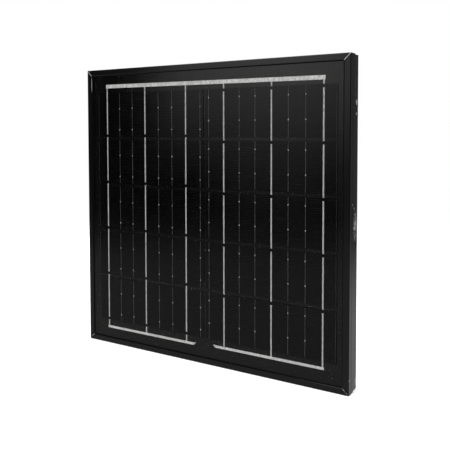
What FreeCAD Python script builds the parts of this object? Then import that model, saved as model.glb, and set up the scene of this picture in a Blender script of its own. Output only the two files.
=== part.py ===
import FreeCAD, Part
import os
import Sketcher
from FreeCAD import Rotation, Vector

# A small framed solar panel, standing on its bottom rail. Millimetres.
# X runs across the panel, Y from the glass to the back, Z up.
# Depths are measured backwards from the front of the frame, which lies at Y = -half_depth.

SIZES = {
    # whole panel
    "panel_side": 350.0,
    "half_side": 175.0,
    "panel_depth": 25.0,
    "half_depth": 12.5,
    # frame extrusion: distances in from the outer face, and depths from the front
    "edge_break": 0.6,
    "lip_break": 0.4,
    "lip_width": 7.0,
    "lip_thick": 1.2,
    "slot_wall": 1.4,
    "slot_back": 6.9,
    "groove_deep": 0.3,
    "groove_front": 6.8,
    "groove_back": 7.5,
    "band_back": 13.3,
    "step_back": 15.0,
    "step_in": 0.6,
    "chamber_wall": 2.2,
    "chamber_front": 8.1,
    "chamber_back": 16.9,
    "chamber_reach": 10.2,
    "shelf_reach": 11.4,
    "shelf_back": 18.1,
    "flange_front": 23.6,
    "flange_reach": 18.0,
    "mitre_gap": 0.05,
    "mitre_over": 5.0,
    "mitre_tool": 40.0,
    # holes in the rear flanges
    "bolt_half_pitch": 95.0,
    "bolt_radius": 3.3,
    "bolt_half_straight": 2.7,
    "bolt_in": 11.4,
    "ground_radius": 2.1,
    "ground_height": 62.0,
    "drain_radius": 2.0,
    "drain_half_pitch": 140.0,
    # corner keys
    "key_play": 0.1,
    "key_leg": 36.0,
    "key_chamfer": 1.5,
    "key_notch_near": 19.0,
    "key_notch_far": 23.0,
    "key_notch_deep": 1.2,
    # edge seal and laminate: depths from the front of the frame
    "seal_front_reach": 6.8,
    "seal_back_reach": 10.8,
    "laminate_in": 2.0,
    "glass_front": 1.6,
    "glass_back": 4.8,
    "bus_front": 5.0,
    "tab_front": 5.2,
    "cell_front": 5.35,
    "cell_back": 5.55,
    "tab_back": 5.7,
    "insulator_back": 5.85,
    "lead_back": 6.05,
    "encapsulant_back": 6.2,
    "laminate_back": 6.5,
    # cells: two strings of five rows
    "cell_near": 1.25,
    "cell_width": 158.75,
    "cell_height": 55.4,
    "row_pitch": 58.9,
    "field_half": 145.5,
    "field_middle": 174.4,
    # tab ribbons
    "tab_near": 25.8,
    "tab_pitch": 59.65,
    "tab_width": 1.6,
    "tab_half": 0.8,
    "tab_stop": 3.5,
    "tab_bend": 0.4,
    "tab_stub_bend": 3.4,
    "tab_top_end": 154.6,
    "tab_left_end": 155.4,
    "tab_right_end": 153.3,
    # bus ribbons
    "bus_out": 146.7,
    "top_bus_low": 326.5,
    "top_bus_wide": 4.5,
    "top_bus_tilt": 0.38,
    "bus_wide": 2.9,
    "left_bus_low": 18.5,
    "right_bus_low": 20.6,
    "left_lead_near": 12.8,
    "right_lead_near": 11.2,
    "fold_back": 5.4,
    "lead_front": 5.85,
    "lead_turn": 91.0,
    "lead_end": 102.0,
    "lead_thick": 0.2,
    "insulator_half": 32.0,
    "insulator_gap": 0.1,
    "insulator_high": 97.0,
    "slit_out": 15.8,
    "slit_near": 10.8,
    "slit_low": 90.3,
    "slit_high": 91.9,
    # junction box
    "box_half": 40.0,
    "box_low": 70.0,
    "box_high": 130.0,
    "box_front": 7.3,
    "box_floor": 9.1,
    "box_rim": 19.3,
    "box_wall": 2.4,
    "box_corner": 3.0,
    "glue_in": 3.0,
    "glue_width": 7.0,
    "window_half": 20.0,
    "window_low": 86.0,
    "window_high": 95.0,
    "seal_in": 0.7,
    "seal_wide": 1.0,
    "seal_deep": 0.8,
    "lid_back": 21.5,
    "label_half": 18.0,
    "label_low": 89.0,
    "label_high": 111.0,
    "label_deep": 0.4,
    "tab_lid_near": 17.0,
    "tab_lid_far": 27.0,
    "tab_lid_front": 15.5,
    "tab_lid_low": 68.2,
    "tab_lid_high": 69.6,
    "hinge_height": 133.2,
    "hinge_depth": 20.4,
    "knuckle_radius": 2.4,
    "pin_radius": 1.2,
    "pin_seat_radius": 1.22,
    "pin_run_radius": 1.27,
    "hinge_near": 19.0,
    "lug_wide": 3.0,
    "knuckle_near": 22.2,
    "knuckle_wide": 5.6,
    "pin_long": 12.0,
    "bracket_front": 15.5,
    "bracket_back": 19.1,
    # terminals and diode
    "terminal_near": 9.0,
    "terminal_far": 21.0,
    "terminal_low": 93.0,
    "terminal_high": 119.0,
    "terminal_front": 10.9,
    "terminal_back": 11.7,
    "pedestal_low": 103.0,
    "terminal_hole": 1.6,
    "screw_across": 15.0,
    "screw_height": 113.0,
    "screw_radius": 1.5,
    "screw_head_radius": 2.8,
    "screw_head": 1.8,
    "screw_long": 2.0,
    "diode_height": 107.0,
    "diode_depth": 12.4,
    "diode_radius": 2.6,
    "diode_half": 4.5,
    "diode_wire_radius": 0.6,
    "diode_wire_half": 16.0,
    # cable gland
    "gland_depth": 14.2,
    "gland_hole_radius": 4.0,
    "gland_stub_top": 73.6,
    "gland_collar_low": 67.6,
    "gland_collar_radius": 6.0,
    "gland_tube_low": 57.0,
    "gland_tube_radius": 4.4,
    "gland_bore_radius": 3.0,
    "gland_step_low": 65.0,
    "gland_inner_radius": 2.4,
    "gland_nut_low": 55.0,
    "gland_nut_high": 66.8,
    "gland_nut_radius": 6.2,
    "gland_nut_bore": 4.45,
    "gland_mouth_radius": 2.6,
    "gland_rib_deep": 0.5,
    "cable_radius": 2.0,
}

RIBS_ON_NUT = 12
ROWS = 5
TABS_PER_CELL = 3
UP = Vector(0, 0, 1)
ACROSS = Vector(1, 0, 0)
BACK = Vector(0, 1, 0)

os.makedirs("parts", exist_ok=True)
doc = FreeCAD.newDocument("SolarPanel")
sheet = doc.addObject("Spreadsheet::Sheet", "Sizes")
for line, (alias, number) in enumerate(SIZES.items(), start=1):
    sheet.set(f"A{line}", alias)
    sheet.set(f"B{line}", str(number))
    sheet.setAlias(f"B{line}", alias)
doc.recompute()

nodes = []


def terms(text):
    """The (sign, factor, name or number) of each term in a sum such as 'lip_width - 2*lip_break'."""
    sign = 1
    found = []
    for word in text.split():
        if word in ("+", "-"):
            sign = 1 if word == "+" else -1
            continue
        factor, _, name = word.rpartition("*")
        found.append((sign, float(factor or 1), name))
        sign = 1
    return found


def amount(text):
    """The sum's value in millimetres."""
    return sum(s * f * (SIZES[n] if n in SIZES else float(n)) for s, f, n in terms(text))


def linked(text):
    """The same sum as an expression that reads the spreadsheet."""
    pieces = []
    for sign, factor, name in terms(text):
        source = f"Sizes.{name}" if name in SIZES else name
        pieces.append(f"{'+' if sign > 0 else '-'} {factor} * {source}")
    return "0 " + " ".join(pieces)


def depth(text):
    """A depth behind the front of the frame, as a Y position."""
    return f"{text} - half_depth"


def finish(thing, label):
    thing.Label = label
    nodes.append(thing)
    return thing


def block(x_low, x_high, y_low, y_high, z_low, z_high):
    """A box between six bound positions."""
    box = doc.addObject("Part::Box", "Block")
    box.setExpression("Length", linked(f"{x_high} - {flipped(x_low)}"))
    box.setExpression("Width", linked(f"{y_high} - {flipped(y_low)}"))
    box.setExpression("Height", linked(f"{z_high} - {flipped(z_low)}"))
    box.setExpression(".Placement.Base.x", linked(x_low))
    box.setExpression(".Placement.Base.y", linked(y_low))
    box.setExpression(".Placement.Base.z", linked(z_low))
    return box


def flipped(text):
    """A sum to take away: the signs after its first term change."""
    swap = {"+": "-", "-": "+"}
    words = text.split()
    if words[0] == "-":
        words = ["0"] + words
    return " ".join(swap.get(word, word) for word in words)


def rod(axis, radius, length, x, y, z):
    """A cylinder that starts at a bound position and runs along an axis."""
    cylinder = doc.addObject("Part::Cylinder", "Rod")
    cylinder.Placement.Rotation = Rotation(UP, axis)
    cylinder.setExpression("Radius", linked(radius))
    cylinder.setExpression("Height", linked(length))
    cylinder.setExpression(".Placement.Base.x", linked(x))
    cylinder.setExpression(".Placement.Base.y", linked(y))
    cylinder.setExpression(".Placement.Base.z", linked(z))
    return cylinder


def fused(*things):
    union = doc.addObject("Part::MultiFuse", "Fused")
    union.Shapes = list(things)
    union.Refine = True
    return union


def together(*things):
    """Several shapes side by side that stay separate solids."""
    group = doc.addObject("Part::Compound", "Group")
    group.Links = list(things)
    return group


def less(thing, *tools):
    """A shape with others taken out of it."""
    result = doc.addObject("Part::Cut", "Less")
    result.Base = thing
    result.Tool = tools[0] if len(tools) == 1 else fused(*tools)
    return result


def new_body(name):
    body = doc.addObject("PartDesign::Body", name)
    body.AllowCompound = True
    return body


def outline(body, name, role, offset, loops):
    """A sketch on one of the body's own planes; each corner is bound in both directions."""
    plane = [item for item in body.Origin.OriginFeatures if item.Role == role][0]
    sketch = body.newObject("Sketcher::SketchObject", name)
    sketch.AttachmentSupport = [(plane, "")]
    sketch.MapMode = "FlatFace"
    sketch.setExpression(".AttachmentOffset.Base.z", linked(offset))
    for loop in loops:
        corners = [Vector(amount(across), amount(along), 0) for across, along in loop]
        first = sketch.GeometryCount
        count = len(corners)
        for number in range(count):
            line = Part.LineSegment(corners[number], corners[(number + 1) % count])
            sketch.addGeometry(line, False)
        for number in range(count):
            here = first + number
            after = first + (number + 1) % count
            sketch.addConstraint(Sketcher.Constraint("Coincident", here, 2, after, 1))
        for number, (across, along) in enumerate(loop):
            here = first + number
            for kind, text in (("DistanceX", across), ("DistanceY", along)):
                rule = Sketcher.Constraint(kind, -1, 1, here, 1, amount(text))
                index = sketch.addConstraint(rule)
                sketch.setExpression(f"Constraints[{index}]", linked(text))
    return sketch


def grown(body, name, sketch, length):
    pad = body.newObject("PartDesign::Pad", name)
    pad.Profile = sketch
    pad.setExpression("Length", linked(length))
    body.Tip = pad
    return pad


def carved(body, name, sketch):
    """A pocket that goes right through, both ways from its sketch."""
    pocket = body.newObject("PartDesign::Pocket", name)
    pocket.Profile = sketch
    pocket.SideType = "Symmetric"
    pocket.Length = 4 * SIZES["panel_depth"]
    body.Tip = pocket
    return pocket


def placed(body, angle, middle="half_side"):
    """A body drawn about the panel's middle, turned about the panel's own depth axis."""
    body.Placement = FreeCAD.Placement(Vector(0, 0, 0), Rotation(BACK, angle))
    body.setExpression(".Placement.Base.z", linked(middle))
    return body


def mirrored(loop):
    """The same outline on the other side of the middle."""
    return [(f"0 - {flipped(across)}", along) for across, along in reversed(loop)]


def mitre_loops(gap):
    """Two triangles that cut both ends at 45 degrees, a hair short of the mitre line."""
    corner = [
        ("half_side + mitre_over", f"0 - half_side - mitre_over - {gap}"),
        ("half_side + mitre_over", f"0 - half_side + mitre_tool - {gap}"),
        ("half_side - mitre_tool", f"0 - half_side + mitre_tool - {gap}"),
    ]
    return [corner, mirrored(corner)]


def strip_along_edge(name, angle, sections, gap):
    """A section run along one side of the panel and mitred at both ends.

    Each corner of a section is (depth from the front, distance in from the outer face)."""
    body = new_body(name)
    loops = [[(depth(back), f"{inward} - half_side") for back, inward in section] for section in sections]
    profile = outline(body, f"{name}_profile", "YZ_Plane", "0 - half_side", loops)
    grown(body, f"{name}_run", profile, "panel_side")
    doc.recompute()
    carved(body, f"{name}_mitres", outline(body, f"{name}_ends", "XZ_Plane", "0", mitre_loops(gap)))
    return placed(body, angle)


SIDES = {"bottom": 0, "left": 90, "top": 180, "right": -90}

RAIL_OUTSIDE = [
    ("edge_break", "0"),
    ("0", "edge_break"),
    ("0", "lip_width - lip_break"),
    ("lip_break", "lip_width"),
    ("lip_thick", "lip_width"),
    ("lip_thick", "slot_wall"),
    ("slot_back", "slot_wall"),
    ("slot_back", "shelf_reach"),
    ("shelf_back", "shelf_reach"),
    ("shelf_back", "chamber_wall"),
    ("flange_front", "chamber_wall"),
    ("flange_front", "flange_reach"),
    ("panel_depth", "flange_reach"),
    ("panel_depth", "step_in + edge_break"),
    ("panel_depth - edge_break", "step_in"),
    ("step_back", "step_in"),
    ("band_back", "0"),
    ("groove_back", "0"),
    ("groove_back - groove_deep", "groove_deep"),
    ("groove_front + groove_deep", "groove_deep"),
    ("groove_front", "0"),
]
RAIL_CHAMBER = [
    ("chamber_front", "chamber_wall"),
    ("chamber_front", "chamber_reach"),
    ("chamber_back", "chamber_reach"),
    ("chamber_back", "chamber_wall"),
]
SEAL_SECTION = [
    ("lip_thick", "slot_wall"),
    ("lip_thick", "seal_front_reach"),
    ("glass_front", "seal_front_reach"),
    ("glass_front", "laminate_in"),
    ("laminate_back", "laminate_in"),
    ("laminate_back", "seal_back_reach"),
    ("slot_back", "seal_back_reach"),
    ("slot_back", "slot_wall"),
]


# --- frame -------------------------------------------------------------------------------------


def flange_hole(radius, x, z):
    """A round hole through the rear flange."""
    return rod(BACK, radius, "3*slot_wall", x, depth("flange_front - slot_wall"), z)


def bolt_slot(x, z):
    """A slot through the rear flange that runs along the rail."""
    near = flange_hole("bolt_radius", f"{x} - bolt_half_straight", z)
    far = flange_hole("bolt_radius", f"{x} + bolt_half_straight", z)
    middle = block(
        f"{x} - bolt_half_straight",
        f"{x} + bolt_half_straight",
        depth("flange_front - slot_wall"),
        depth("flange_front + 2*slot_wall"),
        f"{z} - bolt_radius",
        f"{z} + bolt_radius",
    )
    return fused(near, middle, far)


rails = {}
for side, angle in SIDES.items():
    rails[side] = strip_along_edge(f"{side}_extrusion", angle, [RAIL_OUTSIDE, RAIL_CHAMBER], "mitre_gap")
    seal = strip_along_edge(f"{side}_seal", angle, [SEAL_SECTION], "0")
    finish(seal, f"edge_seal_{side}")

for side, height in (("bottom", "bolt_in"), ("top", "panel_side - bolt_in")):
    slots = [bolt_slot(f"{sign} bolt_half_pitch", height) for sign in ("0 -", "0 +")]
    drains = [flange_hole("drain_radius", f"{sign} drain_half_pitch", height) for sign in ("0 -", "0 +")]
    finish(less(rails[side], *slots, *drains), f"rail_{side}")

for side, sign in (("left", "0 - half_side + bolt_in"), ("right", "half_side - bolt_in")):
    hole = flange_hole("ground_radius", sign, "ground_height")
    finish(less(rails[side], hole), f"rail_{side}")

KEY_NEAR = "chamber_wall + key_play"
KEY_FAR = "chamber_reach - key_play"
KEY_LEG = [
    ("key_leg - key_chamfer", KEY_NEAR),
    ("key_leg", f"{KEY_NEAR} + key_chamfer"),
    ("key_leg", f"{KEY_FAR} - key_chamfer"),
    ("key_leg - key_chamfer", KEY_FAR),
    ("key_notch_far", KEY_FAR),
    ("key_notch_far", f"{KEY_FAR} - key_notch_deep"),
    ("key_notch_near", f"{KEY_FAR} - key_notch_deep"),
    ("key_notch_near", KEY_FAR),
]
key_corners = [(KEY_NEAR, KEY_NEAR)] + KEY_LEG + [(KEY_FAR, KEY_FAR)]
key_corners += [(along, inward) for inward, along in reversed(KEY_LEG)]
for corner, angle in (("bottom_left", 0), ("top_left", 90), ("top_right", 180), ("bottom_right", -90)):
    key = new_body(f"{corner}_key")
    loop = [(f"{across} - half_side", f"{along} - half_side") for across, along in key_corners]
    back = f"0 - {flipped(depth('chamber_back - key_play'))}"
    face = outline(key, f"{corner}_key_outline", "XZ_Plane", back, [loop])
    grown(key, f"{corner}_key_thickness", face, "chamber_back - chamber_front - 2*key_play")
    finish(placed(key, angle), f"corner_key_{corner}")

doc.recompute()

# --- cells and ribbons -------------------------------------------------------------------------

STRINGS = {"left": 0, "right": 180}
cells = []
for row in range(ROWS):
    high = f"field_middle + field_half - {row}*row_pitch"
    for string in STRINGS:
        near = "0 - cell_near - cell_width" if string == "left" else "cell_near"
        far = "0 - cell_near" if string == "left" else "cell_near + cell_width"
        cell = block(
            near, far, depth("cell_front"), depth("cell_back"), f"{high} - cell_height", high
        )
        cells.append(finish(cell, f"cell_{string}_{row + 1}"))


def tab_group(label, string, section):
    """Three equal ribbons side by side; a section corner is (depth from the front, height)."""
    body = new_body(f"{label}_body")
    loop = [(depth(back), height) for back, height in section]
    profile = outline(body, f"{label}_section", "YZ_Plane", "0 - tab_near - tab_half", [loop])
    strip = grown(body, f"{label}_strip", profile, "tab_width")
    doc.recompute()
    row = body.newObject("PartDesign::LinearPattern", f"{label}_row")
    row.Originals = [strip]
    row.Direction = ([item for item in body.Origin.OriginFeatures if item.Role == "X_Axis"][0], [""])
    row.Reversed = True
    row.Occurrences = TABS_PER_CELL
    row.setExpression("Length", linked(f"{TABS_PER_CELL - 1}*tab_pitch"))
    body.Tip = row
    return finish(placed(body, STRINGS[string], "field_middle"), label)


def link_section(low, high, front_end, back_end):
    """In front of the lower cell, back through the gap, then behind the upper cell."""
    return [
        ("tab_front", front_end),
        ("cell_front", front_end),
        ("cell_front", f"{low} + tab_bend"),
        ("tab_back", f"{high} - tab_bend"),
        ("tab_back", back_end),
        ("cell_back", back_end),
        ("cell_back", f"{high} - tab_bend"),
        ("tab_front", f"{low} + tab_bend"),
    ]


tabs = []
for string in STRINGS:
    for link in range(ROWS + 1):
        number = link + 1 if string == "left" else ROWS + 1 - link
        label = f"tab_ribbons_{string}_{number}"
        low = f"field_half - {link}*row_pitch"
        high = f"field_half - {link}*row_pitch + row_pitch - cell_height"
        front_end = f"field_half - {link}*row_pitch - cell_height + tab_stop"
        back_end = f"{high} + cell_height - tab_stop"
        if link == 0:
            top = "tab_top_end" if string == "left" else "tab_right_end"
            section = [
                ("tab_front", front_end),
                ("cell_front", front_end),
                ("cell_front", top),
                ("tab_front", top),
            ]
        elif link == ROWS:
            stub = "tab_left_end" if string == "left" else "tab_top_end"
            section = link_section(f"{high} - tab_stub_bend", high, f"0 - {stub}", back_end)
        else:
            section = link_section(low, high, front_end, back_end)
        tabs.append(tab_group(label, string, section))
doc.recompute()

top_bus = block(
    "0 - bus_out",
    "bus_out",
    depth("bus_front"),
    depth("tab_front"),
    "top_bus_low",
    "top_bus_low + top_bus_wide",
)
top_bus.Placement.Rotation = Rotation(BACK, SIZES["top_bus_tilt"])
top_bus.setExpression(".Placement.Rotation.Angle", "Sizes.top_bus_tilt")
finish(top_bus, "bus_ribbon_top")


def bottom_bus(label, string, low, lead_near):
    """A strip below the cells; its inner end folds up behind them and runs out to the junction box."""
    high = f"{low} + bus_wide"
    lead_far = f"{lead_near} + bus_wide"
    strip_loop = [("bus_out", low), (lead_far, low), (lead_near, high), ("bus_out", high)]
    fold_loop = [(lead_far, low), (lead_near, low), (lead_near, high)]
    lead_loop = [
        (depth("tab_front"), low),
        (depth("fold_back"), low),
        (depth("lead_back"), high),
        (depth("lead_back"), "lead_turn"),
        (depth("terminal_back + lead_thick"), "lead_turn"),
        (depth("terminal_back + lead_thick"), "lead_end"),
        (depth("terminal_back"), "lead_end"),
        (depth("terminal_back"), "lead_turn + lead_thick"),
        (depth("lead_front"), "lead_turn + lead_thick"),
        (depth("lead_front"), high),
        (depth("tab_front"), high),
    ]
    lead_start = lead_near
    if string == "left":
        strip_loop = mirrored(strip_loop)
        fold_loop = mirrored(fold_loop)
        lead_start = f"0 - {flipped(lead_far)}"
    strip = new_body(f"{label}_strip")
    strip_back = f"0 - {flipped(depth('tab_front'))}"
    sketch = outline(strip, f"{label}_strip_outline", "XZ_Plane", strip_back, [strip_loop])
    grown(strip, f"{label}_strip_thickness", sketch, "tab_front - bus_front")
    lead = new_body(f"{label}_lead")
    sketch = outline(lead, f"{label}_lead_section", "YZ_Plane", lead_start, [lead_loop])
    grown(lead, f"{label}_lead_run", sketch, "bus_wide")
    doc.recompute()
    fold = outline(lead, f"{label}_fold_line", "XZ_Plane", "0", [fold_loop])
    pocket = carved(lead, f"{label}_fold", fold)
    pocket.Length = 4 * SIZES["panel_depth"]
    doc.recompute()
    return finish(fused(strip, lead), label)


left_bus = bottom_bus("bus_ribbon_bottom_left", "left", "left_bus_low", "left_lead_near")
right_bus = bottom_bus("bus_ribbon_bottom_right", "right", "right_bus_low", "right_lead_near")


def insulator_side(near, far, bus_low):
    """One side of the film that hides the leads, down to the bus ribbon of that side."""
    low = f"{bus_low} + bus_wide + insulator_gap"
    return block(near, far, depth("tab_back"), depth("insulator_back"), low, "insulator_high")


insulator = fused(
    insulator_side("0 - insulator_half", "0", "left_bus_low"),
    insulator_side("0", "insulator_half", "right_bus_low"),
)
insulator_slits = [
    block(near, far, depth("tab_front"), depth("laminate_back + slot_wall"), "slit_low", "slit_high")
    for near, far in (("0 - slit_out", "0 - slit_near"), ("slit_near", "slit_out"))
]
slits = together(*insulator_slits)
finish(insulator, "lead_insulator")


# --- laminate ----------------------------------------------------------------------------------


def sheet_of(front, back):
    return block(
        "laminate_in - half_side",
        "half_side - laminate_in",
        depth(front),
        depth(back),
        "laminate_in",
        "panel_side - laminate_in",
    )


finish(sheet_of("glass_front", "glass_back"), "cover_glass")
front_filling = fused(*tabs, top_bus, left_bus, right_bus)
finish(less(sheet_of("glass_back", "cell_front"), front_filling), "front_encapsulant")
back_filling = fused(*cells, *tabs, left_bus, right_bus, insulator, slits)
finish(less(sheet_of("cell_front", "encapsulant_back"), back_filling), "rear_encapsulant")
finish(less(sheet_of("encapsulant_back", "laminate_back"), slits), "backsheet")

# --- junction box ------------------------------------------------------------------------------


def rounded_plate(name, front, back):
    """The junction box outline with rounded corners, between two depths."""
    body = new_body(name)
    loop = [
        ("0 - box_half", "box_low"),
        ("box_half", "box_low"),
        ("box_half", "box_high"),
        ("0 - box_half", "box_high"),
    ]
    sketch = outline(body, f"{name}_outline", "XZ_Plane", f"0 - {flipped(depth(back))}", [loop])
    pad = grown(body, f"{name}_thickness", sketch, f"{back} - {front}")
    doc.recompute()
    corners = []
    for number, edge in enumerate(pad.Shape.Edges, start=1):
        run = edge.Vertexes[-1].Point - edge.Vertexes[0].Point
        if abs(run.y) > abs(run.x) + abs(run.z):
            corners.append(f"Edge{number}")
    rounding = body.newObject("PartDesign::Fillet", f"{name}_corners")
    rounding.Base = (pad, corners)
    rounding.setExpression("Radius", linked("box_corner"))
    body.Tip = rounding
    return body


def ring(inset, width, front, back):
    """A rectangular ring inside the junction box outline."""
    around = block(
        f"0 - box_half + {inset}",
        f"box_half - {inset}",
        depth(front),
        depth(back),
        f"box_low + {inset}",
        f"box_high - {inset}",
    )
    inside = block(
        f"0 - box_half + {inset} + {width}",
        f"box_half - {inset} - {width}",
        depth(f"{front} - slot_wall"),
        depth(f"{back} + slot_wall"),
        f"box_low + {inset} + {width}",
        f"box_high - {inset} - {width}",
    )
    return less(around, inside)


def gland_rod(radius, low, high):
    """A rod on the cable's own line, between two heights."""
    return rod(UP, radius, f"{high} - {flipped(low)}", "0", depth("gland_depth"), low)


def hinge_rod(radius, start, length):
    return rod(ACROSS, radius, length, start, depth("hinge_depth"), "hinge_height")


PAIR = ("left", "right")
finish(ring("glue_in", "glue_width", "laminate_back", "box_front"), "jbox_adhesive")

box_outside = rounded_plate("box_block", "box_front", "box_rim")
box_inside = block(
    "0 - box_half + box_wall",
    "box_half - box_wall",
    depth("box_floor"),
    depth("box_rim + slot_wall"),
    "box_low + box_wall",
    "box_high - box_wall",
)
box_window = block(
    "0 - window_half",
    "window_half",
    depth("box_front - slot_wall"),
    depth("box_floor + slot_wall"),
    "window_low",
    "window_high",
)
gland_hole = gland_rod("gland_hole_radius + 0.05", "box_low - slot_wall", "box_low + 2*box_wall")
seal_groove = ring("seal_in", "seal_wide", "box_rim - seal_deep", "box_rim")
tray = less(box_outside, box_inside, box_window, gland_hole, seal_groove)
additions = []
openings = []
lead_sides = {"left": ("0 - terminal_far", "0 - terminal_near"), "right": ("terminal_near", "terminal_far")}
screw_across = {"left": "0 - screw_across", "right": "screw_across"}
for side, (near, far) in lead_sides.items():
    pedestal = block(
        near, far, depth("box_floor"), depth("terminal_front"), "pedestal_low", "terminal_high"
    )
    additions.append(pedestal)
    openings.append(
        rod(
            BACK,
            "screw_radius + 0.03",
            "box_rim",
            screw_across[side],
            depth("box_floor + 0.2"),
            "screw_height",
        )
    )
knuckle_starts = {
    "left": "0 - knuckle_near - knuckle_wide",
    "right": "knuckle_near",
}
pin_starts = {"left": "0 - hinge_near - pin_long", "right": "hinge_near"}
for side in PAIR:
    far_lug = f"{pin_starts[side]} + pin_long - lug_wide"
    for start in (pin_starts[side], far_lug):
        bracket = block(
            start,
            f"{start} + lug_wide",
            depth("bracket_front"),
            depth("bracket_back"),
            "box_high - edge_break",
            "hinge_height",
        )
        additions.extend([bracket, hinge_rod("knuckle_radius", start, "lug_wide")])
    openings.append(hinge_rod("pin_seat_radius", f"{pin_starts[side]} - 1", "pin_long + 2"))
finish(less(fused(tray, *additions), *openings), "jbox_base")
finish(ring("seal_in", "seal_wide", "box_rim - seal_deep", "box_rim"), "jbox_lid_seal")

lid_parts = [rounded_plate("lid_plate", "box_rim", "lid_back")]
lid_holes = [
    block(
        "0 - label_half",
        "label_half",
        depth("lid_back - label_deep"),
        depth("lid_back + label_deep"),
        "label_low",
        "label_high",
    )
]
latch_spans = {"left": ("0 - tab_lid_far", "0 - tab_lid_near"), "right": ("tab_lid_near", "tab_lid_far")}
for side in PAIR:
    near, far = latch_spans[side]
    lid_parts.append(
        block(near, far, depth("tab_lid_front"), depth("lid_back"), "tab_lid_low", "tab_lid_high")
    )
    lid_parts.append(
        block(near, far, depth("box_rim"), depth("lid_back"), "tab_lid_low", "box_low + 1")
    )
    start = knuckle_starts[side]
    lid_parts.append(hinge_rod("knuckle_radius", start, "knuckle_wide"))
    lid_parts.append(
        block(
            start,
            f"{start} + knuckle_wide",
            depth("box_rim"),
            depth("lid_back"),
            "box_high - 1",
            "hinge_height",
        )
    )
    lid_holes.append(hinge_rod("pin_run_radius", f"{start} - 1", "knuckle_wide + 2"))
finish(less(fused(*lid_parts), *lid_holes), "jbox_lid")
pins = [hinge_rod("pin_radius", pin_starts[side], "pin_long") for side in PAIR]
finish(together(*pins), "jbox_hinge_pins")

screws = []
for side, (near, far) in lead_sides.items():
    plate = block(
        near, far, depth("terminal_front"), depth("terminal_back"), "terminal_low", "terminal_high"
    )
    hole = rod(
        BACK,
        "terminal_hole",
        "3*slot_wall",
        screw_across[side],
        depth("terminal_front - slot_wall"),
        "screw_height",
    )
    finish(less(plate, hole), f"terminal_{side}")
    shank = rod(
        BACK,
        "screw_radius",
        "screw_long",
        screw_across[side],
        depth("terminal_back - screw_long"),
        "screw_height",
    )
    head = rod(
        BACK,
        "screw_head_radius",
        "screw_head",
        screw_across[side],
        depth("terminal_back"),
        "screw_height",
    )
    drive = block(
        f"{screw_across[side]} - screw_head_radius",
        f"{screw_across[side]} + screw_head_radius",
        depth("terminal_back + 0.5*screw_head"),
        depth("terminal_back + 2*screw_head"),
        "screw_height - 0.4",
        "screw_height + 0.4",
    )
    screws.append(less(fused(shank, head), drive))
finish(together(*screws), "terminal_screws")

wires = rod(
    ACROSS, "diode_wire_radius", "2*diode_wire_half", "0 - diode_wire_half", depth("diode_depth"),
    "diode_height",
)
capsule = rod(
    ACROSS, "diode_radius", "2*diode_half", "0 - diode_half", depth("diode_depth"), "diode_height"
)
finish(fused(wires, capsule), "bypass_diode")

collar = gland_rod("gland_collar_radius", "gland_collar_low", "box_low")
tube = gland_rod("gland_tube_radius", "gland_tube_low", "gland_collar_low")
stub = gland_rod("gland_hole_radius", "box_low", "gland_stub_top")
narrow = gland_rod("gland_inner_radius", "gland_step_low - 1", "gland_stub_top + 1")
wide = gland_rod("gland_bore_radius", "gland_tube_low - 1", "gland_step_low")
finish(less(fused(collar, tube, stub), narrow, wide), "gland_body")

nut_outside = gland_rod("gland_nut_radius", "gland_nut_low", "gland_nut_high")
nut_bore = gland_rod("gland_nut_bore", "gland_tube_low", "gland_nut_high + 1")
nut_mouth = gland_rod("gland_mouth_radius", "gland_nut_low - 1", "gland_tube_low + 1")
flutes = []
for number in range(RIBS_ON_NUT):
    turned = Rotation(UP, 360 * number / RIBS_ON_NUT)
    away = turned.multVec(Vector(SIZES["gland_nut_radius"] + SIZES["gland_rib_deep"], 0, 0))
    flute = gland_rod("2*gland_rib_deep", "gland_nut_low + 2", "gland_nut_high - 1.5")
    flute.setExpression(".Placement.Base.x", linked(f"{away.x:.4f}"))
    flute.setExpression(".Placement.Base.y", linked(f"{depth('gland_depth')} + {away.y:.4f}"))
    flutes.append(flute)
finish(less(nut_outside, nut_bore, nut_mouth, *flutes), "gland_nut")

plug = gland_rod("gland_bore_radius", "gland_tube_low", "gland_step_low")
cable_way = gland_rod("cable_radius", "gland_tube_low - 1", "gland_step_low + 1")
finish(less(plug, cable_way), "gland_seal")

# --- check and export --------------------------------------------------------------------------

doc.recompute()
for item in doc.Objects:
    if "Invalid" in item.State or "Error" in item.State:
        raise RuntimeError(f"{item.Label} did not compute: {item.State}")
for node in nodes:
    shape = node.Shape
    if shape.isNull() or not shape.isValid() or not shape.Solids:
        raise RuntimeError(f"{node.Label} is not a sound solid")
    shape.exportStep(f"parts/{node.Label}.step")
    box = shape.BoundBox
    print(
        f"{node.Label:28s} solids {len(shape.Solids)} volume {shape.Volume:10.2f} "
        f"x {box.XMin:8.2f} {box.XMax:8.2f} y {box.YMin:7.2f} {box.YMax:7.2f} "
        f"z {box.ZMin:7.2f} {box.ZMax:7.2f}"
    )
print(f"{len(nodes)} nodes")
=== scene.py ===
import math
import random

import bmesh
import bpy
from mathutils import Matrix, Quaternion, Vector


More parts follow.
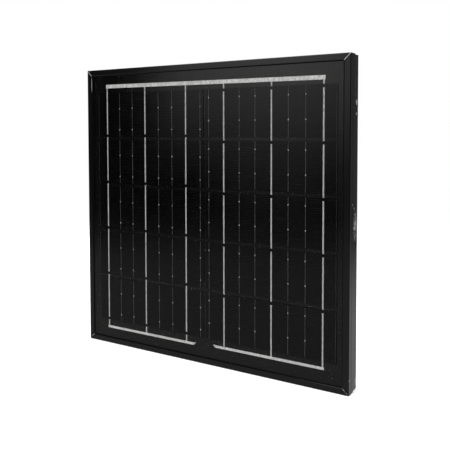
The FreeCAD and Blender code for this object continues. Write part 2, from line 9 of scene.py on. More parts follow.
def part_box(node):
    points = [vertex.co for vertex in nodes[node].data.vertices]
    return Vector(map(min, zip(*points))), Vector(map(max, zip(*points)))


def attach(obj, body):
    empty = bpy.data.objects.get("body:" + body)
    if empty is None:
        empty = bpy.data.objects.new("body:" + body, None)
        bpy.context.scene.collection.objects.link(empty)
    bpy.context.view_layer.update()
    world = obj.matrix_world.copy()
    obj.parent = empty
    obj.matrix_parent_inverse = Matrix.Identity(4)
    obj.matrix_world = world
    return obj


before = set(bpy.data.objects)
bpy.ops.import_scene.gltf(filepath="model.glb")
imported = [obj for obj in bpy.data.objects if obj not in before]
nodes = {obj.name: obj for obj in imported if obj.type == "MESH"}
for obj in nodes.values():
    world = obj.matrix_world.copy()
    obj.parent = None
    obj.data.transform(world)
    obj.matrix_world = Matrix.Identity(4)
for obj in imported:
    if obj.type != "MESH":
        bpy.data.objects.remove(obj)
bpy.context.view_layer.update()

MM = 0.001

# Driving dimensions, in metres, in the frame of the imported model: X across, Y to the back, Z up.
SIDE = 350 * MM
HALF = SIDE / 2
FRONT = -12.5 * MM
BACKSHEET_REAR = -6.0 * MM
SIDE_STEP = 0.8 * MM
LIP_EDGE = 168 * MM
GLASS_FRONT = -10.9 * MM
MIDDLE = Vector((0, 0, HALF))
CELLS_PER_STRING = 5
# Each side of the middle, the ribbons and the printed lines lie this far out.
RIBBON_PLACES = (25.8 * MM, 85.45 * MM, 145.1 * MM)
RIBBON_WIDTH = 1.6 * MM
FINGER_PITCH = 1.85 * MM
FINGER_SHARE = 0.16
LINE_PLACES = (5.9 * MM, 45.7 * MM, 65.5 * MM, 105.3 * MM, 125.2 * MM)

# Wear of the frame: centre and radii of each patch. Scuffs are mottled, flecks are bare. The last fleck
# is a painted highlight along the inner edge of the left lip.
SCUFFS = (
    ((HALF, 4.5 * MM, 173 * MM), (4 * MM, 8 * MM, 19 * MM)),
    ((HALF, 10.0 * MM, 7 * MM), (4 * MM, 5 * MM, 5 * MM)),
)
FLECKS_AND_HIGHLIGHT = (
    ((HALF, 7.8 * MM, 301 * MM), (3 * MM, 3.2 * MM, 3.8 * MM)),
    ((HALF, 7.0 * MM, 289 * MM), (3 * MM, 1.8 * MM, 1.8 * MM)),
    ((HALF, -5.0 * MM, 196 * MM), (3 * MM, 1.0 * MM, 1.0 * MM)),
    ((HALF, 0.5 * MM, 192 * MM), (3 * MM, 1.2 * MM, 1.3 * MM)),
    ((HALF, -11.5 * MM, 16 * MM), (3 * MM, 1.0 * MM, 1.2 * MM)),
    # Not wear: a painted highlight along the inner edge of the left lip near the top.
    ((-LIP_EDGE, FRONT, 332 * MM), (0.40 * MM, 2 * MM, 13 * MM)),
)
# Centre and radii of the dark smear around the large scuff.
STAIN = ((HALF, 7.0 * MM, 166 * MM), (4 * MM, 9 * MM, 24 * MM))


def grey(value):
    """A neutral colour."""
    return (value, value, value, 1.0)


class Graph:
    """Short calls that each add a node to a shader tree and return its output."""

    def __init__(self, tree):
        self.tree = tree

    def add(self, kind, **settings):
        node = self.tree.nodes.new(kind)
        for key, value in settings.items():
            setattr(node, key, value)
        return node

    def put(self, socket, value):
        """Links value to socket if it is an output, and sets it if it is a plain value."""
        if isinstance(value, bpy.types.NodeSocket):
            self.tree.links.new(value, socket)
        else:
            socket.default_value = value

    def calc(self, operation, *values):
        node = self.add("ShaderNodeMath", operation=operation)
        for socket, value in zip(node.inputs, values):
            self.put(socket, value)
        return node.outputs[0]

    def split(self, vector):
        """The vector's X, Y and Z."""
        node = self.add("ShaderNodeSeparateXYZ")
        self.put(node.inputs[0], vector)
        return node.outputs

    def ramp(self, value, low, high, start=0.0, end=1.0):
        """start where value is low or less, end where it is high or more, and smooth between."""
        node = self.add("ShaderNodeMapRange", interpolation_type="SMOOTHSTEP")
        for socket, number in zip(node.inputs, (value, low, high, start, end)):
            self.put(socket, number)
        return node.outputs[0]


class Look(Graph):
    """A material with one Principled shader, its patterns laid out in the piece's own position."""

    def __init__(self, name, constants):
        self.material = bpy.data.materials.new(name)
        self.material.use_nodes = True
        super().__init__(self.material.node_tree)
        self.shader = self.tree.nodes["Principled BSDF"]
        self.position = self.add("ShaderNodeTexCoord").outputs["Object"]
        self.relief = None
        for socket, value in constants.items():
            self.shader.inputs[socket].default_value = value

    def feed(self, socket, value):
        self.put(self.shader.inputs[socket], value)

    def axes(self):
        """The position's X, Y and Z."""
        return self.split(self.position)

    def scaled(self, scale, offset=(0.0, 0.0, 0.0)):
        node = self.add("ShaderNodeMapping")
        self.put(node.inputs["Vector"], self.position)
        node.inputs["Scale"].default_value = scale
        node.inputs["Location"].default_value = offset
        return node.outputs[0]

    def noise(self, scale, detail=3.0, roughness=0.5, offset=0.0):
        """Noise from 0 to 1. scale is per metre, one number or one for each axis."""
        steps = scale if isinstance(scale, tuple) else (scale, scale, scale)
        node = self.add("ShaderNodeTexNoise")
        self.put(node.inputs["Vector"], self.scaled(steps, (offset, offset, offset)))
        node.inputs["Scale"].default_value = 1.0
        node.inputs["Detail"].default_value = detail
        node.inputs["Roughness"].default_value = roughness
        return node.outputs["Fac"]

    def band(self, value, low, high, soft):
        """1 between low and high, 0 outside, with soft edges."""
        rising = self.ramp(value, low - soft, low + soft)
        falling = self.ramp(value, high - soft, high + soft, 1.0, 0.0)
        return self.calc("MULTIPLY", rising, falling)

    def near(self, centre, radii):
        """1 at centre and 0 beyond the ellipsoid with those radii."""
        scale = tuple(1 / r for r in radii)
        node = self.add("ShaderNodeVectorMath", operation="LENGTH")
        offset = tuple(-c * s for c, s in zip(centre, scale))
        self.put(node.inputs[0], self.scaled(scale, offset))
        return self.ramp(node.outputs["Value"], 0.35, 1.0, 1.0, 0.0)

    def blend(self, factor, first, second):
        node = self.add("ShaderNodeMix", data_type="RGBA")
        self.put(node.inputs[0], factor)
        self.put(node.inputs[6], first)
        self.put(node.inputs[7], second)
        return node.outputs[2]

    def bump(self, height, distance, strength=1.0):
        """Relief on top of what earlier calls gave. distance is in metres."""
        node = self.add("ShaderNodeBump")
        node.inputs["Strength"].default_value = strength
        node.inputs["Distance"].default_value = distance
        self.put(node.inputs["Height"], height)
        if self.relief is not None:
            self.put(node.inputs["Normal"], self.relief)
        self.relief = node.outputs[0]
        self.feed("Normal", self.relief)


def height_from_middle(look, z):
    return look.calc("ABSOLUTE", look.calc("SUBTRACT", z, HALF))


def mitre_cut(look, x, y, z):
    """1 on the saw cut at the mitres, where bare metal shows. The bare band is wider at the upper
    corners.
    """
    off_diagonal = look.calc("SUBTRACT", look.calc("ABSOLUTE", x), height_from_middle(look, z))
    ragged = look.ramp(look.noise(900.0, detail=2.0), 0.3, 0.7, 0.0, 0.25 * MM)
    distance = look.calc("ADD", look.calc("ABSOLUTE", off_diagonal), ragged)
    cut_width = look.ramp(z, HALF - 10 * MM, HALF + 10 * MM, 0.24 * MM, 0.34 * MM)
    cut = look.ramp(look.calc("SUBTRACT", distance, cut_width), -0.06 * MM, 0.06 * MM, 1.0, 0.0)
    front_only = look.ramp(y, FRONT + 0.4 * MM, FRONT + 0.9 * MM, 1.0, 0.2)
    return look.calc("MULTIPLY", cut, front_only)


def step_chips(look, x, y, z):
    """1 on the chips along the step of the side faces. The upper half has more of them."""
    grains = look.noise((700.0, 900.0, 420.0), detail=4.0, roughness=0.75, offset=3.0)
    upper = look.ramp(z, HALF, SIDE, 0.0, 0.08)
    chips = look.ramp(look.calc("ADD", grains, upper), 0.59, 0.67)
    at_side = look.ramp(look.calc("ABSOLUTE", x), HALF - 1.6 * MM, HALF - 1.2 * MM)
    along_step = look.band(y, SIDE_STEP - 0.2 * MM, SIDE_STEP + 1.0 * MM, 0.25 * MM)
    return look.calc("MULTIPLY", look.calc("MULTIPLY", chips, along_step), at_side)


def patches(look, places):
    """The sum of the soft patches at those centres with those radii."""
    total = 0.0
    for centre, radii in places:
        total = look.calc("ADD", total, look.near(centre, radii))
    return total


def anodised_frame(name, across):
    """Black anodised extrusion. across holds the noise scale on each axis, small along the rail."""
    look = Look(name, {"IOR": 1.5})
    x, y, z = look.axes()
    streaks = look.noise(across, detail=4.0, roughness=0.7)
    clouds = look.noise(22.0, detail=3.0)
    streak_depth = look.ramp(streaks, 0.3, 0.7, 0.0, 0.6)
    cloud_depth = look.ramp(clouds, 0.3, 0.7, 0.0, 0.4)
    bare = mitre_cut(look, x, y, z)

    # Scuffs and flecks of handling, and the painted highlight on the left lip's inner edge.
    mottles = look.noise((600.0, 420.0, 330.0), detail=5.0, roughness=0.7, offset=7.0)
    mottles = look.ramp(mottles, 0.46, 0.56)
    scuffs = look.calc("MULTIPLY", look.calc("MINIMUM", patches(look, SCUFFS), 1.0), mottles)
    ragged_rim = look.ramp(look.noise(1300.0, detail=3.0, offset=2.0), 0.3, 0.7, 0.6, 0.0)
    flecks_and_highlight = look.ramp(look.calc("SUBTRACT", patches(look, FLECKS_AND_HIGHLIGHT), ragged_rim), 0.0, 0.25)
    handling_and_highlight = look.calc("ADD", scuffs, flecks_and_highlight)
    wear_and_highlight = look.calc("MINIMUM", look.calc("ADD", handling_and_highlight, step_chips(look, x, y, z)), 1.0)

    # Two places are dull: the dark smear around the scuff, and the lip's inner wall by the sealant,
    # dulled as painted shade.
    smear = look.calc("MULTIPLY", look.near(*STAIN), look.calc("SUBTRACT", 1.0, mottles))
    from_middle = look.calc("MAXIMUM", look.calc("ABSOLUTE", x), height_from_middle(look, z))
    lip_wall_painted_shade = look.ramp(from_middle, LIP_EDGE + 0.01 * MM, LIP_EDGE + 0.06 * MM, 1.0, 0.0)
    dull = look.calc("MAXIMUM", lip_wall_painted_shade, smear)

    colour = look.blend(look.calc("ADD", streak_depth, cloud_depth), grey(0.0012), grey(0.0032))
    # Worn spots turn light grey; on the left lip's inner edge this grey is a painted highlight.
    colour = look.blend(wear_and_highlight, colour, grey(0.36))
    look.feed("Base Color", look.blend(bare, colour, grey(0.86)))
    bare_metal = look.calc("MULTIPLY", bare, 0.3)
    wear_and_highlight_metal = look.calc("MULTIPLY", wear_and_highlight, 0.2)
    look.feed("Metallic", look.calc("MAXIMUM", bare_metal, wear_and_highlight_metal))
    # Low specular level where dull: the smear, and painted shade on the lip's inner wall.
    look.feed("Specular IOR Level", look.ramp(dull, 0.0, 1.0, 0.16, 0.03))
    satin = look.ramp(streaks, 0.25, 0.75, 0.12, 0.18)
    look.feed("Roughness", look.calc("ADD", satin, look.calc("MULTIPLY", wear_and_highlight, 0.15)))
    look.bump(streaks, 0.012 * MM, 0.5)
    look.bump(wear_and_highlight, 0.05 * MM, 0.6)
    return look.material


def cast_metal(name, low, high, roughness, metallic=1.0):
    """Bare cast or turned metal with a dull, uneven skin."""
    look = Look(name, {"Metallic": metallic, "IOR": 1.5})
    clouds = look.noise(260.0, detail=5.0, roughness=0.65)
    look.feed("Base Color", look.blend(look.ramp(clouds, 0.3, 0.7), low, high))
    look.feed("Roughness", look.ramp(clouds, 0.25, 0.75, roughness - 0.08, roughness + 0.12))
    look.bump(look.noise(2600.0, detail=3.0), 0.02 * MM, 0.5)
    return look.material


def moulded(name, low, high, roughness, grain, depth, level=0.5):
    """Moulded plastic or rubber with a spark-eroded skin. grain is per metre, depth in metres."""
    look = Look(name, {"IOR": 1.5, "Specular IOR Level": level})
    clouds = look.noise(70.0, detail=4.0, roughness=0.6)
    skin = look.noise(grain, detail=3.0, roughness=0.6)
    look.feed("Base Color", look.blend(look.ramp(clouds, 0.3, 0.7), low, high))
    look.feed("Roughness", look.ramp(clouds, 0.25, 0.75, roughness - 0.07, roughness + 0.08))
    look.bump(skin, depth, 0.7)
    return look.material


def clear_body(name, colour, ior):
    """A clear material that bends light. The surfaces bonded behind it mirror what it would mirror."""
    material = bpy.data.materials.new(name)
    material.use_nodes = True
    tree = material.node_tree
    tree.nodes.remove(tree.nodes["Principled BSDF"])
    bend = tree.nodes.new("ShaderNodeBsdfRefraction")
    bend.inputs["Color"].default_value = colour
    bend.inputs["Roughness"].default_value = 0.0
    bend.inputs["IOR"].default_value = ior
    tree.links.new(bend.outputs[0], tree.nodes["Material Output"].inputs[0])
    return material


def rear_film():
    """The same film behind the cells, as the faint haze that is left of it between them."""
    look = Look("rear_encapsulant", {"Alpha": 0.02, "Specular IOR Level": 0.0, "Roughness": 0.4})
    look.feed("Base Color", look.blend(look.ramp(look.noise(40.0), 0.3, 0.7), grey(0.03), grey(0.06)))
    return look.material


def silicon(number):
    """Coated silicon with fine printed fingers and the gloss of the glass bonded to it."""
    chance = random.Random(400 + number)
    shade = chance.uniform(0.85, 1.2)
    look = Look(f"cell_silicon_{number}", {"IOR": 1.5, "Specular IOR Level": 0.115})
    z = look.axes()[2]
    clouds = look.noise((30.0, 30.0, 46.0), detail=3.0, offset=3.1 * number)
    silicon_colour = look.blend(look.ramp(clouds, 0.3, 0.7), grey(0.0002 * shade), grey(0.0005 * shade))
    wave = look.calc("COSINE", look.calc("MULTIPLY", z, 2 * math.pi / FINGER_PITCH))
    fingers = look.ramp(wave, math.cos(math.pi * FINGER_SHARE), 1.0)
    broken = look.ramp(look.noise((160.0, 160.0, 900.0), detail=2.0), 0.3, 0.6, 0.55, 1.0)
    fingers = look.calc("MULTIPLY", fingers, broken)
    look.feed("Base Color", look.blend(fingers, silicon_colour, grey(0.010)))
    look.feed("Roughness", look.ramp(clouds, 0.3, 0.7, 0.08, 0.12))
    look.bump(look.noise((60.0, 60.0, 90.0), detail=2.0), 0.03 * MM, 0.5)
    return look.material


def tinned(name, low, high):
    """Tin-dipped copper: bright, uneven, with long shallow ripples."""
    look = Look(name, {"IOR": 1.5})
    ripples = look.noise((420.0, 420.0, 230.0), detail=4.0, roughness=0.6)
    spots = look.noise(1500.0, detail=3.0, roughness=0.7)
    rippled = look.ramp(ripples, 0.3, 0.7, 0.35, 1.0)
    spotted = look.ramp(spots, 0.3, 0.6, 0.6, 1.0)
    shade = look.calc("MULTIPLY", rippled, spotted)
    look.feed("Base Color", look.blend(shade, low, high))
    look.feed("Metallic", look.ramp(spots, 0.3, 0.7, 0.3, 0.6))
    look.feed("Roughness", look.ramp(ripples, 0.3, 0.7, 0.62, 0.42))
    look.bump(ripples, 0.05 * MM, 0.5)
    look.bump(spots, 0.02 * MM, 0.5)
    return look.material


def silver_paste(name, low, high):
    """Screen-printed and fired silver: matt, slightly broken at its edges."""
    look = Look(name, {"Metallic": 0.35, "IOR": 1.5})
    grains = look.noise(5000.0, detail=3.0, roughness=0.7)
    look.feed("Base Color", look.blend(look.ramp(grains, 0.3, 0.7), low, high))
    look.feed("Roughness", look.ramp(grains, 0.3, 0.7, 0.5, 0.65))
    look.bump(grains, 0.01 * MM, 0.5)
    return look.material


def black_backsheet():
    """Black film with the gloss of the glass bonded to it. The ribbons under it show a little behind."""
    look = Look("backsheet_film", {"IOR": 1.5, "Specular IOR Level": 0.17})
    x, y = look.axes()[:2]
    clouds = look.noise(18.0, detail=4.0)
    look.feed("Base Color", look.blend(look.ramp(clouds, 0.3, 0.7), grey(0.0009), grey(0.0016)))
    look.feed("Roughness", look.ramp(clouds, 0.3, 0.7, 0.09, 0.13))
    from_middle = look.calc("ABSOLUTE", x)
    ridges = 0.0
    for place in RIBBON_PLACES:
        ridge = look.band(from_middle, place - RIBBON_WIDTH / 2, place + RIBBON_WIDTH / 2, 0.7 * MM)
        ridges = look.calc("ADD", ridges, ridge)
    from_behind = look.ramp(y, BACKSHEET_REAR - 0.1 * MM, BACKSHEET_REAR)
    pillow = look.noise((26.0, 26.0, 34.0), detail=1.0)
    look.bump(pillow, 0.25 * MM, 0.5)
    look.bump(look.calc("MULTIPLY", ridges, from_behind), 0.10 * MM, 0.7)
    return look.material


def shaded_edges(piece, width, segments, angle):
    """Joins the faces of a CAD mesh, rounds edges sharper than angle and shades the rest smoothly."""
    tidy = piece.modifiers.new("tidy", "NODES")
    tidy.node_group = smooth_group
    flat = piece.modifiers.new("flat", "DECIMATE")
    flat.decimate_type = "DISSOLVE"
    flat.angle_limit = math.radians(0.2)
    edges = piece.modifiers.new("edges", "BEVEL")
    edges.width = width
    edges.segments = segments
    edges.limit_method = "ANGLE"
    edges.angle_limit = math.radians(angle)
    edges.harden_normals = True
    edges.use_clamp_overlap = True


def make_smooth_group():
    """Nodes that weld a mesh, drop the normals it came with and shade it smoothly."""
    group = bpy.data.node_groups.new("weld_and_smooth", "GeometryNodeTree")
    group.interface.new_socket("Geometry", in_out="INPUT", socket_type="NodeSocketGeometry")
    group.interface.new_socket("Geometry", in_out="OUTPUT", socket_type="NodeSocketGeometry")
    start = group.nodes.new("NodeGroupInput")
    weld = group.nodes.new("GeometryNodeMergeByDistance")
    weld.inputs["Distance"].default_value = 0.0015 * MM
    last = weld.outputs[0]
    group.links.new(start.outputs[0], weld.inputs[0])
    for attribute in ("custom_normal", "sharp_edge"):
        drop = group.nodes.new("GeometryNodeRemoveAttribute")
        drop.inputs["Name"].default_value = attribute
        group.links.new(last, drop.inputs[0])
        last = drop.outputs[0]
    smooth = group.nodes.new("GeometryNodeSetShadeSmooth")
    smooth.inputs["Shade Smooth"].default_value = True
    group.links.new(last, smooth.inputs[0])
    end = group.nodes.new("NodeGroupOutput")
    group.links.new(smooth.outputs[0], end.inputs[0])
    return group


smooth_group = make_smooth_group()


def dress(names, material, bevel=None, segments=2, angle=38.0):
    """Gives the CAD nodes a material and, where asked, rounded edges."""
    for name in names:
        piece = nodes[name]
        piece.data.materials.clear()
        piece.data.materials.append(material)
        if bevel is not None:
            shaded_edges(piece, bevel, segments, angle)


def clear_to_light(piece):
    """Lets light and reflections through to the surfaces bonded behind the piece."""
    piece.visible_shadow = False
    piece.visible_glossy = False
    piece.visible_diffuse = False


def out_of_reflections(names):
    """Keeps pieces beside the glass out of what the glossy layers behind it mirror."""
    for name in names:
        nodes[name].visible_glossy = False


def starting(prefix):
    return sorted(name for name in nodes if name.startswith(prefix))


# Frame.
upright = anodised_frame("black_frame_upright", (1000.0, 1000.0, 9.0))
level = anodised_frame("black_frame_level", (9.0, 1000.0, 1000.0))
dress(["rail_left", "rail_right"], upright, bevel=0.13 * MM, angle=12.0)
dress(["rail_top", "rail_bottom"], level, bevel=0.13 * MM, angle=12.0)
dress(starting("corner_key"), cast_metal("key_casting", grey(0.42), grey(0.6), 0.45), bevel=0.3 * MM)
sealant = moulded("sealant", grey(0.006), grey(0.012), 0.38, 900.0, 0.05 * MM)
dress(starting("edge_seal"), sealant, bevel=0.15 * MM)
dress(["jbox_adhesive"], sealant)
out_of_reflections(starting("rail_") + starting("edge_seal"))

# Laminate. The front film fills the gap without bending light a second time.
GLASS_IOR = 1.5
FILM_IOR = 1.0
glass = clear_body("cover_glass", (0.985, 0.99, 0.985, 1.0), GLASS_IOR)
dress(["cover_glass"], glass, bevel=0.4 * MM)
clear_to_light(nodes["cover_glass"])
front_film = clear_body("front_encapsulant", (0.99, 0.99, 0.985, 1.0), FILM_IOR)
for film_name, film in (("front_encapsulant", front_film), ("rear_encapsulant", rear_film())):
    dress([film_name], film)
    film_piece = nodes[film_name]
    weld = film_piece.modifiers.new("weld", "WELD")
    weld.merge_threshold = 0.001 * MM
    shrink = film_piece.modifiers.new("clear_of_the_cells", "DISPLACE")
    shrink.strength = -0.02 * MM
    shrink.mid_level = 0.0
    clear_to_light(film_piece)
dress(["backsheet", "lead_insulator"], black_backsheet())
for cell_number, cell_name in enumerate(starting("cell_")):
    dress([cell_name], silicon(cell_number))
dress(starting("tab_ribbons"), tinned("tab_ribbon", grey(0.20), grey(0.50)))
dress(starting("bus_ribbon"), tinned("bus_ribbon", grey(0.28), grey(0.70)))
out_of_reflections(starting("tab_ribbons") + starting("bus_ribbon"))

# Junction box.
box_plastic = moulded("box_plastic", grey(0.011), grey(0.018), 0.46, 2200.0, 0.03 * MM)
dress(["jbox_base", "jbox_lid"], box_plastic, bevel=0.3 * MM)
gland_plastic = moulded("gland_plastic", grey(0.013), grey(0.02), 0.4, 3000.0, 0.02 * MM)
dress(["gland_body", "gland_nut"], gland_plastic, bevel=0.2 * MM)
rubber = moulded("seal_rubber", grey(0.008), grey(0.014), 0.6, 1800.0, 0.03 * MM, level=0.3)
dress(["gland_seal", "jbox_lid_seal"], rubber, bevel=0.15 * MM)
steel = cast_metal("pin_steel", grey(0.55), grey(0.68), 0.28)
dress(["jbox_hinge_pins", "terminal_screws"], steel, bevel=0.08 * MM)
brass = cast_metal("terminal_brass", (0.62, 0.45, 0.18, 1.0), (0.78, 0.58, 0.27, 1.0), 0.3)
dress(["terminal_left", "terminal_right"], brass, bevel=0.1 * MM)
epoxy = moulded("diode_epoxy", grey(0.012), grey(0.022), 0.35, 4000.0, 0.01 * MM)
dress(["bypass_diode"], epoxy, bevel=0.08 * MM)


def new_piece(name, mesh, material):
    """Adds a piece that rides on the panel's body."""
    piece = bpy.data.objects.new(name, mesh)
    bpy.context.scene.collection.objects.link(piece)
    mesh.materials.append(material)
    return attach(piece, "panel")


def add_block(mesh, low, high):
    """Adds a closed box with those corners."""
    made = bmesh.ops.create_cube(mesh, size=1.0)
    size = Vector(high) - Vector(low)
    middle = (Vector(high) + Vector(low)) / 2
    for vertex in made["verts"]:
        vertex.co = Vector(c * s for c, s in zip(vertex.co, size)) + middle


# Sealant pressed out between the lip and the glass, near black as painted shadow along the lip's inner
# edge.
BEAD_WIDTH = 1.0 * MM
BEAD_HIGH = 0.35 * MM


def make_sealant_and_shadow_bead():
    """A square ring with a rounded section that lies on the glass along the inner edge of the lip. Its
    near-black colour is painted shadow.
    """
    mesh = bmesh.new()
    steps = [math.radians(angle) for angle in range(0, 91, 15)]
    under_lip = LIP_EDGE + 0.3 * MM
    section = [(under_lip, GLASS_FRONT - BEAD_HIGH)]
    for step in steps:
        reach = BEAD_WIDTH * math.sin(step)
        section.append((LIP_EDGE - reach, GLASS_FRONT - BEAD_HIGH * math.cos(step)))
    section.append((under_lip, GLASS_FRONT))
    corners = ((-1, -1), (1, -1), (1, 1), (-1, 1))
    rings = []
    for sign_x, sign_z in corners:
        rings.append([mesh.verts.new((sign_x * out, y, HALF + sign_z * out)) for out, y in section])
    for ring, following in zip(rings, rings[1:] + rings[:1]):
        for point in range(len(section)):
            beside = (point + 1) % len(section)
            mesh.faces.new((ring[point], ring[beside], following[beside], following[point]))
    bmesh.ops.recalc_face_normals(mesh, faces=mesh.faces)
    data = bpy.data.meshes.new("sealant_and_shadow_bead")
    mesh.to_mesh(data)
    mesh.free()
    # Far darker and duller than the sealant: painted shadow of the lip.
    painted_shadow_look = moulded("sealant_and_shadow_bead", grey(0.0008), grey(0.002), 0.5, 900.0, 0.05 * MM, level=0.05)
    bead = new_piece("sealant_and_shadow_bead", data, painted_shadow_look)
    bead.visible_glossy = False


make_sealant_and_shadow_bead()


# Printed contacts of the cells. A print stands out of the cell's front and reaches a little into it.
PRINT_FRONT = 0.015 * MM
PRINT_BACK = 0.005 * MM
LINE_WIDTH = 0.32 * MM
LINE_INSET = 0.6 * MM
RIM_WIDTH = 0.10 * MM
RIM_INSET = 0.9 * MM
PAD_SIZE = (0.80 * MM, 1.35 * MM)
PAD_PITCH = 26.5 * MM
# From the cell's edge to the middle of the first pad, in each string.
FIRST_PAD = {"right": 9.65 * MM, "left": 9.3 * MM}
PASTES = {
    "lines": silver_paste("line_paste", grey(0.05), grey(0.11)),
    "pads": silver_paste("pad_paste", grey(0.50), grey(0.75)),
    "rim": silver_paste("rim_paste", grey(0.07), grey(0.14)),
}


def print_contacts(side, row):
    """Thin lines and pads of one cell. The left string lies the other way up than the right one."""
    low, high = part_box(f"cell_{side}_{row}")
    front, back = low.y - PRINT_FRONT, low.y + PRINT_BACK
    meshes = {kind: bmesh.new() for kind in PASTES}

    def strip(kind, x, z, width, height):
        near_corner = (x - width / 2, front, z - height / 2)
        far_corner = (x + width / 2, back, z + height / 2)
        add_block(meshes[kind], near_corner, far_corner)

    middle = (low + high) / 2
    direction = 1 if side == "right" else -1
    for place in LINE_PLACES:
        x = direction * place
        strip("lines", x, middle.z, LINE_WIDTH, high.z - low.z - 2 * LINE_INSET)
        for pad in range(2):
            offset = FIRST_PAD[side] + pad * PAD_PITCH
            z = high.z - offset if side == "right" else low.z + offset
            strip("pads", x, z, *PAD_SIZE)
    outer = high.x - RIM_INSET if side == "right" else low.x + RIM_INSET
    strip("rim", outer, middle.z, RIM_WIDTH, high.z - low.z - 2 * RIM_INSET)

    for kind, mesh in meshes.items():
        name = f"cell_{kind}_{side}_{row}"
        data = bpy.data.meshes.new(name)
        mesh.to_mesh(data)
        mesh.free()
        print_piece = new_piece(name, data, PASTES[kind])
        print_piece.visible_glossy = False


for string in ("left", "right"):
    for cell in range(1, CELLS_PER_STRING + 1):
        print_contacts(string, cell)


# Stage.
FLOOR_RADIUS = 1.3
FLOOR_SOLID = 0.85
ROOM = 0.05
BACKDROP = 0.11
# How far a direction points to the back, where the backdrop starts and where it is full.
BEHIND = (0.2, 0.5)
# The white table as the panel mirrors it, in front of the panel and behind it: the height in degrees
# where it is full, the height where it ends, and its strength.
TABLE_IN_FRONT = (-13.0, -7.0, 0.86)
TABLE_BEHIND = (-16.5, -8.5, 0.6)
# Soft glows that the panel mirrors, in degrees: turned left of the panel's front, flat half-width,
# half-width where it ends, height where it starts, height where it is full, and its strength.
GLOWS = (
    (26.5, 7.0, 11.5, -5.5, 8.0, 2.55),
    (25.0, 1.0, 8.5, -11.0, -3.0, 0.65),
)


def make_floor():
    """A pale round table top that fades out at its rim."""
    mesh = bmesh.new()
    bmesh.ops.create_circle(mesh, cap_ends=True, segments=96, radius=FLOOR_RADIUS)
    data = bpy.data.meshes.new("floor")
    mesh.to_mesh(data)
    mesh.free()
    floor = bpy.data.objects.new("floor", data)
    bpy.context.scene.collection.objects.link(floor)
    look = Look("floor", {"Roughness": 0.85, "Specular IOR Level": 0.2, "Emission Strength": 0.35})
    look.feed("Base Color", grey(0.9))
    look.feed("Emission Color", grey(1.0))
    node = look.add("ShaderNodeVectorMath", operation="LENGTH")
    look.put(node.inputs[0], look.position)
    away = look.ramp(node.outputs["Value"], FLOOR_SOLID, FLOOR_RADIUS)
    clear = look.add("ShaderNodeBsdfTransparent")
    both = look.add("ShaderNodeMixShader")
    for socket, value in zip(both.inputs, (away, look.shader.outputs[0], clear.outputs[0])):
        look.put(socket, value)
    look.put(look.tree.nodes["Material Output"].inputs[0], both.outputs[0])
    data.materials.append(look.material)
    floor.visible_glossy = False
    floor.visible_shadow = False


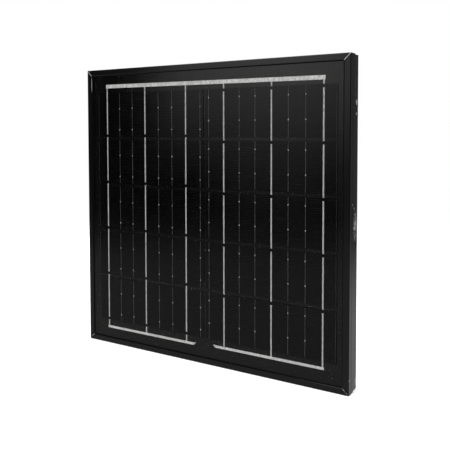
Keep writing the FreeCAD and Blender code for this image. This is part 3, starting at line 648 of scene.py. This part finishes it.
def make_world():
    """White to the camera. To the panel it is a dim room with soft glows and a white table."""
    world = bpy.data.worlds.new("studio")
    bpy.context.scene.world = world
    world.use_nodes = True
    graph = Graph(world.node_tree)
    way = graph.add("ShaderNodeTexCoord").outputs["Generated"]
    right, back, up = graph.split(way)
    left = graph.calc("MULTIPLY", right, -1.0)
    front = graph.calc("MULTIPLY", back, -1.0)
    turn = graph.calc("ARCTAN2", left, front)
    lift = graph.calc("ARCSINE", up)

    behind = graph.ramp(back, *BEHIND)
    in_front = graph.calc("SUBTRACT", 1.0, behind)
    strength = graph.calc("ADD", graph.calc("MULTIPLY", behind, BACKDROP), ROOM)
    for share, (full, edge, power) in ((in_front, TABLE_IN_FRONT), (behind, TABLE_BEHIND)):
        above = graph.ramp(lift, math.radians(full), math.radians(edge))
        table = graph.calc("MULTIPLY", graph.calc("SUBTRACT", 1.0, above), share)
        strength = graph.calc("ADD", strength, graph.calc("MULTIPLY", table, power))
    for place, flat, reach, foot, full, power in GLOWS:
        aside = graph.calc("ABSOLUTE", graph.calc("SUBTRACT", turn, math.radians(place)))
        outside = graph.ramp(aside, math.radians(flat), math.radians(reach))
        across = graph.calc("SUBTRACT", 1.0, outside)
        upward = graph.ramp(lift, math.radians(foot), math.radians(full))
        glow = graph.calc("MULTIPLY", graph.calc("MULTIPLY", across, upward), power)
        strength = graph.calc("ADD", strength, glow)

    room = graph.tree.nodes["Background"]
    white = graph.add("ShaderNodeBackground")
    for light in (room, white):
        light.inputs["Color"].default_value = grey(1.0)
    graph.put(room.inputs["Strength"], strength)
    seen = graph.add("ShaderNodeLightPath").outputs["Is Camera Ray"]
    both = graph.add("ShaderNodeMixShader")
    for socket, value in zip(both.inputs, (seen, room.outputs[0], white.outputs[0])):
        graph.put(socket, value)
    graph.put(graph.tree.nodes["World Output"].inputs[0], both.outputs[0])


def soft_light(name, place, target, size, power):
    """A rectangular softbox that faces target."""
    data = bpy.data.lights.new(name, "AREA")
    data.shape = "RECTANGLE"
    data.size, data.size_y = size
    data.energy = power
    light = bpy.data.objects.new(name, data)
    light.location = place
    light.rotation_euler = (Vector(target) - Vector(place)).to_track_quat("-Z", "Y").to_euler()
    light.visible_camera = False
    bpy.context.scene.collection.objects.link(light)


CAMERA_PLACE = (389.0 * MM, -636.9 * MM, 272.6 * MM)
# Degrees: turned to the left, tilted down, and leaning.
CAMERA_TURN, CAMERA_TILT, CAMERA_ROLL = 32.6, 2.6, 0.23
LENS = 51.11
LENS_SHIFT = (0.0667, -0.1457)


def make_camera():
    data = bpy.data.cameras.new("camera")
    data.lens = LENS
    data.sensor_width = 36.0
    data.shift_x, data.shift_y = LENS_SHIFT
    data.clip_start = 0.01
    camera = bpy.data.objects.new("camera", data)
    camera.location = CAMERA_PLACE
    turn, tilt = math.radians(CAMERA_TURN), math.radians(CAMERA_TILT)
    level = math.cos(tilt)
    forward = Vector((-math.sin(turn) * level, math.cos(turn) * level, -math.sin(tilt)))
    roll = Quaternion(forward, math.radians(CAMERA_ROLL))
    camera.rotation_mode = "QUATERNION"
    camera.rotation_quaternion = roll @ forward.to_track_quat("-Z", "Y")
    bpy.context.scene.collection.objects.link(camera)
    bpy.context.scene.camera = camera


make_floor()
make_world()
make_camera()
soft_light("top", (0.1, -0.15, 1.9), MIDDLE, (2.0, 2.0), 54.0)
soft_light("behind", (-0.9, 1.6, 1.5), MIDDLE, (1.2, 1.2), 30.0)
bpy.context.scene.view_settings.view_transform = "Standard"
